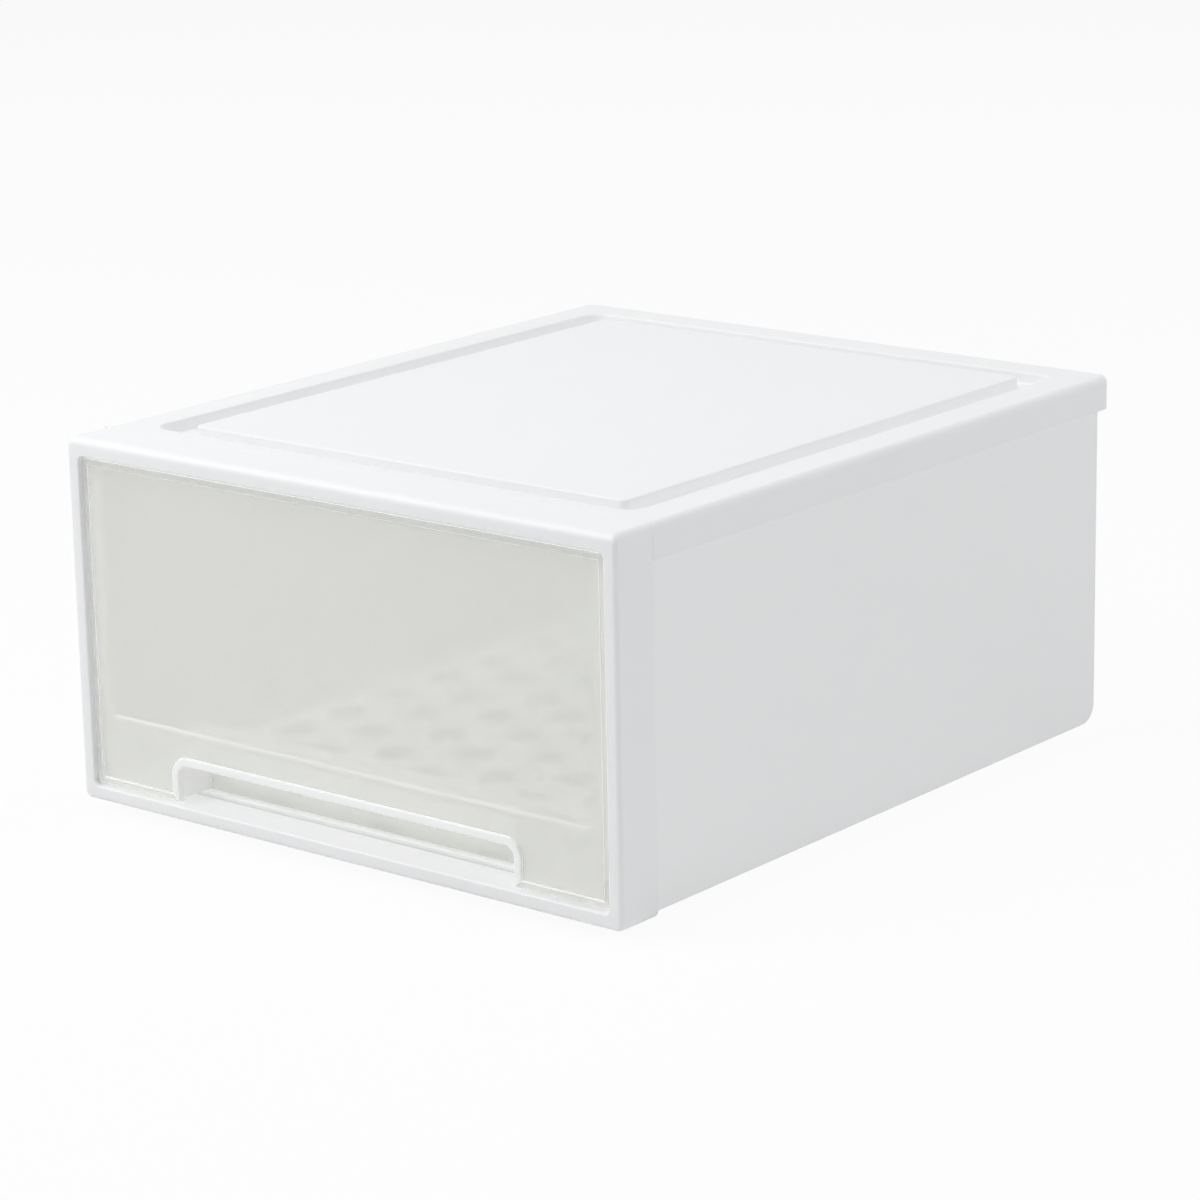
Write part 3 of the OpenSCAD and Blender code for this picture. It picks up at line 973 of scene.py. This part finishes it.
@dataclass
class BasePanel:
    """Deck that the drawer slides on, with runners and guides above and crossed ribs below."""

    common: Common
    runner_wall: float = 3.0
    # Place of the runners' front ends behind the front rib
    runner_start: float = 10.0
    # How far the tub's stop pads reach below the runners' tops
    stop_reach: float = 2.0
    guide_place: float = 156.4
    ribs_long: int = 5
    ribs_wide: int = 6
    # Distance of the outer ribs from the feet's inner sides
    rib_side: float = 12.1

    def build(self) -> None:
        """Makes the deck and everything that stands on it or hangs from it."""
        c = self.common
        t = c.panel
        low, high = span("base_panel")
        flange = span("side_panel_right")
        opening_x, sill = c.opening[1][0], c.opening[0][1]
        deck = sill - t
        rib_y = c.lining + c.fit
        heel_y = flange[1][1] - c.heel
        deck_x = flange[0][0] - c.fit
        runner = span("drawer_tub")[0][2] + self.stop_reach
        rest = c.frame_low[2] + c.wall + c.fit
        shell = Shell(Plane.TOP)
        shell.slab((-deck_x, rib_y, deck), (deck_x, high[1], sill))
        shell.slab((-high[0], rib_y, rest), (high[0], rib_y + t, runner - 2 * c.clear))
        shell.slab((-opening_x, c.tongue, rest), (opening_x, rib_y + t / 2, sill - c.wall - c.fit))

        def bar(side: int, x0: float, x1: float, y0: float, z0: float, z1: float) -> None:
            """Adds a bar on one side, between two distances from the middle plane."""
            a, b = sorted((side * x0, side * x1))
            shell.slab((a, y0, z0), (b, heel_y, z1))

        half, under = self.runner_wall / 2, sill - t / 2
        for side in (-1, 1):
            bar(side, deck_x - t, high[0], rib_y + c.clear, flange[0][2] + t + c.fit, sill - c.clear)
            bar(side, self.guide_place, self.guide_place + t, c.seam, under, high[2])
            for x in c.runner_places:
                bar(side, x - half, x + half, rib_y + self.runner_start, under, runner)
        rib_x = span("foot_front_right")[0][0] - self.rib_side
        y0, y1 = c.seam + c.rib_margin, heel_y - c.rib_margin
        head = deck + t / 2
        for x in np.linspace(-rib_x, rib_x, self.ribs_long):
            shell.slab((x - t / 2, y0, low[2]), (x + t / 2, y1, head))
        for y in np.linspace(y0, y1, self.ribs_wide):
            shell.slab((-rib_x, y - t / 2, low[2]), (rib_x, y + t / 2, head))
        piece("casing_base_panel", shell, CASING, PANEL, "base_panel")


@dataclass
class Foot:
    """Rounded pad with two pegs that snap into the deck."""

    common: Common
    corner: float = 4.0
    sole_edge: float = 0.8
    peg: float = 2.5
    pitch: float = 22.0
    # How deep a peg is rooted in the pad, and the bevel of its ends
    root: float = 1.0
    bevel: float = 0.2
    # Overhang and height of a peg's head, and the radius of its crown
    catch: float = 0.9
    head: float = 1.4
    crown: float = 0.3

    def build(self) -> None:
        """Makes the four feet."""
        for place in ("front_left", "front_right", "rear_left", "rear_right"):
            node = f"foot_{place}"
            piece(f"casing_{node}", self.shell(node), CASING, PAD, node)

    def shell(self, node: str) -> Shell:
        """Makes the pad and its pegs.

        Args:
            node: The CAD node that is there.

        Returns:
            The foot's shell.
        """
        c = self.common
        low, high = span(node)
        deck = c.opening[0][1] - c.panel
        pad = Outline.box(low[:2], high[:2], self.corner, arc=6)
        section = Section(self.sole_edge, 0).turn(0, self.sole_edge, Leave.INWARD, FOOT_STEPS)
        section.to(0, deck - c.edge).turn(c.edge, deck, Leave.ALONG)
        shell = Shell(Plane.TOP).loft(pad.rings(section))
        x, y, _ = (low + high) / 2
        seat = deck + c.panel + c.fit
        foot = deck - self.root
        for side in (-1, 1):
            peg = Outline.disc((x, y + side * self.pitch / 2), self.peg, arc=4)
            stem = Section(self.bevel, foot).to(0, foot + self.bevel).to(0, seat).to(-self.catch, seat)
            stem.to(c.fit, seat + self.head - self.bevel)
            shell.loft(peg.rings(stem.turn(c.fit + self.crown, high[2], Leave.ALONG)))
        return shell


# ---------------------------------------------------------------- drawer


@dataclass(frozen=True)
class DrawerSizes:
    """Walls and places that the tub and its front share."""

    wall: float = 2.2
    # Wall of the flange that the front presses over the tub's plate
    press: float = 1.0
    # Half width of the pull, the level of its top over the frame's foot, and the pocket's depth
    pull: float = 106.0
    pull_top: float = 27.6
    pocket: float = 24.0
    window_side: float = 9.0
    window_top: float = 3.9
    # Level of the window's lower edge over the frame's foot
    window_low: float = 43.0


@dataclass
class Tub:
    """Tray with a windowed front plate, a ledge round its edge, a finger pocket and a dimpled floor."""

    common: Common
    sizes: DrawerSizes
    draft: float = 2.5
    corner: float = 14.0
    ledge: float = 3.5
    # How far the ledge lies below the plate's top
    ledge_drop: float = 1.9
    foot_round: float = 2.4
    # Height of the floor's underside over the sill
    floor_rise: float = 2.6
    # How far the tray enters the plate, and the pocket's roof the walls round it
    bite: float = 0.1
    lap: float = 0.2
    pocket_corner: float = 1.0
    dimple: float = 9.0
    dimple_depth: float = 0.8
    dimple_shoulder: float = 1.4
    dimple_edge: float = 4.0
    pitch: float = 39.0
    travel: float = 300.0
    stop_half: float = 25.0
    plate_corner: float = 0.9
    pull_corner: float = 0.3
    window_corner: float = 4.0
    # Thickness of the bead on the window's lower edge
    bead: float = 1.5

    def build(self) -> None:
        """Makes the tray, its front plate, the pocket's roof and the stop pads as one piece."""
        shell = Shell(Plane.TOP)
        self.tray(shell)
        shell.join(self.plate())
        self.dress(piece("drawer_tub_body", shell, DRAWER, TUB, "drawer_tub"))

    def dress(
        self, made: bpy.types.Object, near: float = 0.01, wall_near: float = 0.6, pocket_near: float = 0.3,
        rim_margin: float = 15.0, pocket_margin: float = 3.0,
    ) -> None:
        """Gives the plate and the pocket's rear wall a clear finish, paints shade into the dimples, a
        highlight onto the bead and light onto the pocket's side walls.

        Args:
            made: The piece.
            near: How far a face's middle may lie from its level.
            wall_near: The same, for the pocket's side walls.
            pocket_near: The same, for the pocket's rear wall.
            rim_margin: Distance of the dimples from the tub's outer box.
            pocket_margin: Distance of the dimples from the pocket.
        """
        s = self.sizes
        low, high = span("drawer_tub")
        far = math.inf
        plate = low[1] + s.wall
        sill = self.common.frame_low[2] + s.window_low
        inner_x = s.pull - self.pocket_corner / 2
        paint(made, PLATE, lambda at: within(at, -far, (far, plate + near, far))
              | within(at, -far, (inner_x, s.pocket + pocket_near, sill + near)))
        floor = self.floor_level() + s.wall
        # the dimples get a darker finish: painted shade in their hollows
        paint(made, DIMPLE_PAINTED_SHADE, lambda at: within(
            at, (-far, s.pocket + pocket_margin, floor - self.dimple_depth - near),
            (high[0] - rim_margin, high[1] - rim_margin, floor - 2 * near)))
        window_x = span("drawer_front")[1][0] - s.press - self.common.fit - s.window_side
        bead, lap = self.bead, self.bead / 3
        # the bead and the pocket's side walls get the whiter finish: a painted highlight on the bead,
        # painted light on the walls
        paint(made, MILKY_AND_PAINTED_LIGHT, lambda at: within(
            at, (-far, -far, sill - lap - near), (window_x + near, plate + lap + near, sill + bead + near))
            | within(at, (s.pull - wall_near, -far, -far), (s.pull + wall_near, s.pocket, sill)))

    def floor_level(self) -> float:
        """Level of the underside of the tub's floor."""
        return span("base_panel")[1][2] - self.common.guide_rise + self.floor_rise

    def tray(self, shell: Shell) -> None:
        """Lofts floor and walls round an outline that steps back at the pocket.

        The wall stands as high as the ledge on three sides, as high as the pocket round the pocket, and
        not at all at the front, where the plate closes the tray.

        Args:
            shell: The shell that takes the tray, the pocket's roof and the stop pads.
        """
        s, c = self.sizes, self.common
        low, high = span("drawer_tub")
        t, e, r, d, p, out = s.wall, c.edge, self.foot_round, self.draft, s.pull, self.ledge
        front = low[1] + t - self.bite
        floor = self.floor_level()
        deck = floor + t
        edge = high[2] - self.ledge_drop
        x, y = high[0] - out, high[1] - out
        corners = np.array([
            (-x, front), (-p, front), (-p, s.pocket), (p, s.pocket), (p, front), (x, front), (x, y), (-x, y),
        ])
        q = self.pocket_corner
        outline = Outline(corners, np.array([e, e, q, q, e, e, self.corner, self.corner]), CORNER_STEPS)
        roof = c.frame_low[2] + s.window_low

        def sides(fore: float, pocket: float, wall: float, rear: float | None = None) -> np.ndarray:
            """One value a side, of the front edge, the pocket, the side walls and the rear wall."""
            back = wall if rear is None else rear
            return np.array([fore, pocket, pocket, pocket, fore, wall, back, wall])

        section = Section(sides(e, e, d + r, r), floor)
        section.turn(sides(0, 0, d, 0), sides(floor + e, floor + e, floor + r), Leave.INWARD, FOOT_STEPS)
        section.to(0, sides(deck - e, roof - e, edge - t - e))
        section.turn(sides(0, 0, -e), sides(deck - e, roof - e, edge - t), Leave.ALONG)
        section.to(sides(0, 0, e - out), sides(deck - e, roof - e, edge - t))
        section.turn(sides(0, 0, -out), sides(deck - e, roof - e, edge - t + e), Leave.INWARD)
        section.to(sides(0, 0, -out), sides(deck - e, roof - e, edge - e))
        section.turn(sides(e, e, e - out), sides(deck, roof, edge), Leave.ALONG)
        section.to(sides(e, t - e, t - e), sides(deck, roof, edge))
        section.turn(sides(e, t, t), sides(deck, roof - e, edge - e), Leave.INWARD)
        section.to(sides(e, t, t + d, t), sides(deck, deck + r, deck + r))
        section.turn(sides(e, t + r, t + d + r, t + r), deck, Leave.ALONG, FOOT_STEPS)
        grid = outline.rings(section)
        shell.loft(grid, caps=(False, False))
        shell.fill([grid[0, :, :2]], floor)
        shell.fill([grid[-1, :, :2], *self.dimples(shell, x - d, y, deck)], deck)
        shell.slab((-p - self.lap, front, roof - t), (p + self.lap, s.pocket + self.lap, roof))
        middle = sum(c.runner_places) / 2
        stop = c.lining + c.fit + c.panel + self.travel + c.fit
        for side in (-1, 1):
            a, b = sorted((side * (middle - self.stop_half), side * (middle + self.stop_half)))
            shell.slab((a, stop, low[2]), (b, stop + t, floor + t / 2))

    def dimples(self, shell: Shell, wall_x: float, end_y: float, deck: float) -> list[np.ndarray]:
        """Sinks round dimples with soft shoulders into the floor.

        They stand in staggered rows, kept clear of the pocket and of the walls. A shoulder goes down
        by a quarter turn to half the depth, and by a second one to the bottom.

        Args:
            shell: The shell that takes the dimples.
            wall_x: Half the floor's width.
            end_y: Place of the rear wall.
            deck: Level of the floor.

        Returns:
            The dimples' outlines in the floor.
        """
        s = self.sizes
        row = self.pitch * math.sqrt(3) / 2
        margin = self.dimple_edge + self.dimple + s.wall
        first = s.pocket + margin
        last = end_y - self.corner - self.dimple
        columns, rows = int((wall_x - margin) // row), int((last - first) // self.pitch)
        shoulder, depth = self.dimple_shoulder, self.dimple_depth
        section = Section(0, deck).turn(shoulder, deck - depth / 2, Leave.INWARD, BEAD_STEPS)
        section.turn(2 * shoulder, deck - depth, Leave.ALONG, BEAD_STEPS)
        loops = []
        for i in range(-columns, columns + 1):
            for j in range(rows + 1):
                y = first + (j + (i % 2) / 2) * self.pitch
                if y < last:
                    rings = Outline.disc((i * row, y), self.dimple + shoulder, arc=6).rings(section)
                    shell.loft(rings, caps=(False, True))
                    loops.append(rings[0, :, :2])
        return loops

    def plate(self) -> Shell:
        """Makes the front plate between its outline, which steps round the pull, and its window.

        Returns:
            The plate and the bead on its window's lower edge.
        """
        s, c = self.sizes, self.common
        low, high = span("drawer_front")
        gap = s.press + c.fit
        x, z0, z1 = high[0] - gap, low[2] + gap, high[2] - gap
        sill = c.frame_low[2] + s.window_low
        roof = sill - s.wall
        p, e = s.pull, c.edge
        corners = np.array([(-x, z0), (-p, z0), (-p, roof), (p, roof), (p, z0), (x, z0), (x, z1), (-x, z1)])
        a, b = self.plate_corner, self.pull_corner
        outer = Outline(corners, np.array([a, b, b, b, b, a, a, a]), CORNER_STEPS // 2)
        wx = x - s.window_side
        window = Outline.box((-wx, sill), (wx, z1 - s.window_top), self.window_corner)
        y0 = span("drawer_tub")[0][1]
        y1 = y0 + s.wall
        shell = Shell(Plane.FRONT)
        loops = []
        for outline, inset in ((outer, e), (window, -e)):
            section = Section(inset, y0).turn(0, y0 + e, Leave.INWARD)
            rings = outline.rings(section.to(0, y1 - e).turn(inset, y1, Leave.ALONG))
            shell.loft(rings, caps=(False, False))
            loops.append(rings[..., :2])
        shell.fill([rings[0] for rings in loops], y0).fill([rings[-1] for rings in loops], y1)
        bead, lap = self.bead, self.bead / 3
        foot, head = (-wx, y0 + c.clear, sill - lap), (wx, y1 + lap, sill + bead)
        return shell.slab(foot, head, bead / 2, bead / 2, BEAD_STEPS)


@dataclass
class DrawerFront:
    """Hazy plate with a raised rim, a lip round the pull and a flange that presses over the tub."""

    common: Common
    sizes: DrawerSizes
    thickness: float = 2.0
    edge: float = 0.3
    corner: float = 2.2
    pull_corner: float = 0.5
    # Width, height and outer edge of the rim and of the lip
    rim: float = 3.8
    rim_height: float = 0.8
    rim_edge: float = 0.4
    lip: float = 4.4
    lip_height: float = 1.2
    lip_edge: float = 0.6
    lip_corner: float = 5.6

    def build(self) -> None:
        """Lofts the plate from its back face over the flange, the rim and the lip to its front face."""
        s, c, e = self.sizes, self.common, self.edge
        low, high = span("drawer_front")
        x, z0, z1 = high[0], low[2], high[2]
        p, q = s.pull, c.frame_low[2] + s.pull_top
        corners = np.array([(-x, z0), (-p, z0), (-p, q), (p, q), (p, z0), (x, z0), (x, z1), (-x, z1)])
        a, b, lip = self.corner, self.pull_corner, self.lip_corner
        outline = Outline(corners, np.array([a, b, lip, lip, b, a, a, a]), CORNER_STEPS)

        def sides(border: float, pull: float) -> np.ndarray:
            """One value a side, from those of the outer border and of the pull."""
            return np.array([border, pull, pull, pull, border, border, border, border])

        face = low[1] + self.lip_height
        back = face + self.thickness - c.clear
        end = high[1]
        rim_y, lip_y = face - self.rim_height, face - self.lip_height
        section = Section(s.press + e, back)
        section.turn(sides(s.press, e), sides(back + e, back), Leave.INWARD)
        section.to(sides(s.press, e), sides(end - e, back))
        section.turn(sides(s.press - e, e), sides(end, back), Leave.ALONG)
        section.to(e, sides(end, back)).turn(0, sides(end - e, back - e), Leave.INWARD)
        soft, crest = sides(self.rim_edge, self.lip_edge), sides(rim_y, lip_y)
        section.to(0, crest + soft).turn(soft, crest, Leave.ALONG, FOOT_STEPS)
        width = sides(self.rim, self.lip)
        section.to(width - 2 * e, crest).turn(width - e, crest + e, Leave.INWARD, BEAD_STEPS)
        section.to(width - e, face - e).turn(width, face, Leave.ALONG, BEAD_STEPS)
        grid = outline.rings(section)
        shell = Shell(Plane.FRONT).loft(grid, caps=(False, False))
        shell.fill([grid[0, :, :2]], back).fill([grid[-1, :, :2]], face)
        made = piece("drawer_front_plate", shell, DRAWER, HAZE, "drawer_front")
        self.dress(made, np.array([face, back, rim_y]))

    def dress(self, made: bpy.types.Object, hazy: np.ndarray, near: float = 0.02) -> None:
        """Makes the edges and the lip whiter, as thick milky plastic and partly as a painted highlight,
        while the plate and the crest of its rim stay hazy.

        Args:
            made: The piece.
            hazy: Places of the hazy faces.
            near: How far a face's middle may lie from its place.
        """
        # edges and lip: whiter for their thicker plastic, and partly a painted highlight
        paint(made, MILKY_AND_PAINTED_LIGHT, lambda at: (np.abs(at[:, 1:2] - hazy) > near).all(1))


# ---------------------------------------------------------------- studio


@dataclass(frozen=True)
class Softbox:
    """A square area light: its place and the length of its side in metres, and its power in watts."""

    name: str
    place: Place
    size: float
    power: float

    def build(self, target: Place) -> None:
        """Makes the light.

        Args:
            target: The point that it faces, in metres.
        """
        data = bpy.data.lights.new(self.name, "AREA")
        data.shape = "SQUARE"
        data.size = self.size
        data.energy = self.power
        made = bpy.data.objects.new(self.name, data)
        made.location = self.place
        made.rotation_euler = (Vector(self.place) - Vector(target)).to_track_quat("Z", "Y").to_euler()
        bpy.context.scene.collection.objects.link(made)


@dataclass
class Studio:
    """Camera, floor and soft lights. Angles are in degrees and lengths in metres."""

    azimuth: float = 39.242
    elevation: float = 15.158
    roll: float = -1.094
    position: Place = (1.25335, -1.53758, 0.62608)
    # Focal length and sensor width, in millimetres
    lens: float = 123.39
    sensor: float = 36.0
    floor_half: float = 4.0
    floor_drop: float = 0.0002
    floor_colour: Colour = (0.86, 0.86, 0.86)
    # How white the floor shows
    floor_white: float = 0.92
    ambient: Colour = (0.95, 0.97, 1.0)
    ambient_strength: float = 0.26
    white: Colour = (1.0, 1.0, 1.0)
    target: Place = (0.0, 0.0, 0.1)
    softboxes: tuple[Softbox, ...] = (
        Softbox("top_softbox", (0.0, 0.1, 1.9), 2.0, 5.0),
        Softbox("front_softbox", (-1.2, -1.35, 1.85), 1.6, 36.0),
        Softbox("left_softbox", (-0.5, -2.4, 0.9), 1.2, 4.0),
        Softbox("right_softbox", (2.1, 0.35, 1.4), 1.9, 18.0),
        Softbox("rear_softbox", (0.6, 2.2, 1.4), 2.2, 8.0),
        Softbox("far_softbox", (-2.3, 0.3, 1.4), 2.2, 7.0),
    )

    def build(self) -> None:
        """Sets up the view, the floor and the lights."""
        scene = bpy.context.scene
        scene.view_settings.view_transform = "Standard"
        self.camera(scene)
        self.floor()
        self.world(scene)
        for softbox in self.softboxes:
            softbox.build(self.target)

    def camera(self, scene: bpy.types.Scene) -> None:
        """Places the camera from its angles: back along them, rolled about its own axis.

        Args:
            scene: The scene that takes the camera.
        """
        a, e, roll = (math.radians(v) for v in (self.azimuth, self.elevation, self.roll))
        back = Vector((math.sin(a) * math.cos(e), -math.cos(a) * math.cos(e), math.sin(e)))
        side = (-back).cross(Vector((0, 0, 1))).normalized()
        head = back.cross(side)
        right = math.cos(roll) * side + math.sin(roll) * head
        up = math.cos(roll) * head - math.sin(roll) * side
        data = bpy.data.cameras.new("camera")
        data.lens, data.sensor_width = self.lens, self.sensor
        made = bpy.data.objects.new("camera", data)
        turned = Matrix((right, up, back)).transposed().to_4x4()
        made.matrix_world = Matrix.Translation(self.position) @ turned
        scene.collection.objects.link(made)
        scene.camera = made

    @staticmethod
    def seen(graph: Graph) -> Socket:
        """Works out whether a ray comes from the camera, from gloss or through a clear piece.

        Args:
            graph: The graph that uses it.

        Returns:
            A factor of 0 or 1.
        """
        path = graph.node("LightPath").outputs
        either = graph.math("MAXIMUM", path["Is Camera Ray"], path["Is Glossy Ray"])
        return graph.math("MAXIMUM", either, path["Is Transmission Ray"])

    def floor(self) -> None:
        """Makes a pale floor that keeps the shadow, and shows white where the background is seen."""
        h, z = self.floor_half, -self.floor_drop
        mesh = bpy.data.meshes.new("floor")
        mesh.from_pydata([(-h, -h, z), (h, -h, z), (h, h, z), (-h, h, z)], [], [(0, 1, 2, 3)])
        made = bpy.data.objects.new("floor", mesh)
        bpy.context.scene.collection.objects.link(made)
        material = bpy.data.materials.new("pale_floor")
        material.use_nodes = True
        graph = Graph(material.node_tree)
        diffuse = graph.node("BsdfDiffuse", Color=opaque(self.floor_colour))
        white = graph.node("Emission", Color=opaque(self.white), Strength=1.0)
        share = graph.math("MULTIPLY", self.seen(graph), self.floor_white)
        graph.node("OutputMaterial", Surface=graph.blend(share, diffuse, white))
        mesh.materials.append(material)

    def world(self, scene: bpy.types.Scene) -> None:
        """Makes a soft grey light from all sides that shows as white behind the object.

        Args:
            scene: The scene that takes the world.
        """
        world = bpy.data.worlds.new("studio")
        world.use_nodes = True
        graph = Graph(world.node_tree)
        ambient = graph.node("Background", Color=opaque(self.ambient), Strength=self.ambient_strength)
        white = graph.node("Background", Color=opaque(self.white), Strength=1.0)
        graph.node("OutputWorld", Surface=graph.blend(self.seen(graph), ambient, white))
        scene.world = world


def main() -> None:
    """Builds the studio and every sub-assembly in order."""
    logging.basicConfig(level=logging.INFO, format="%(name)s: %(message)s")
    common = Common()
    sizes = DrawerSizes()
    for part in (
        Studio(), FrontFrame(common), TopCover(common), SidePanel(common), BackPanel(common),
        BasePanel(common), Foot(common), Tub(common, sizes), DrawerFront(common, sizes),
    ):
        part.build()
        log.info("%s done", type(part).__name__)


if __name__ == "__main__":
    main()
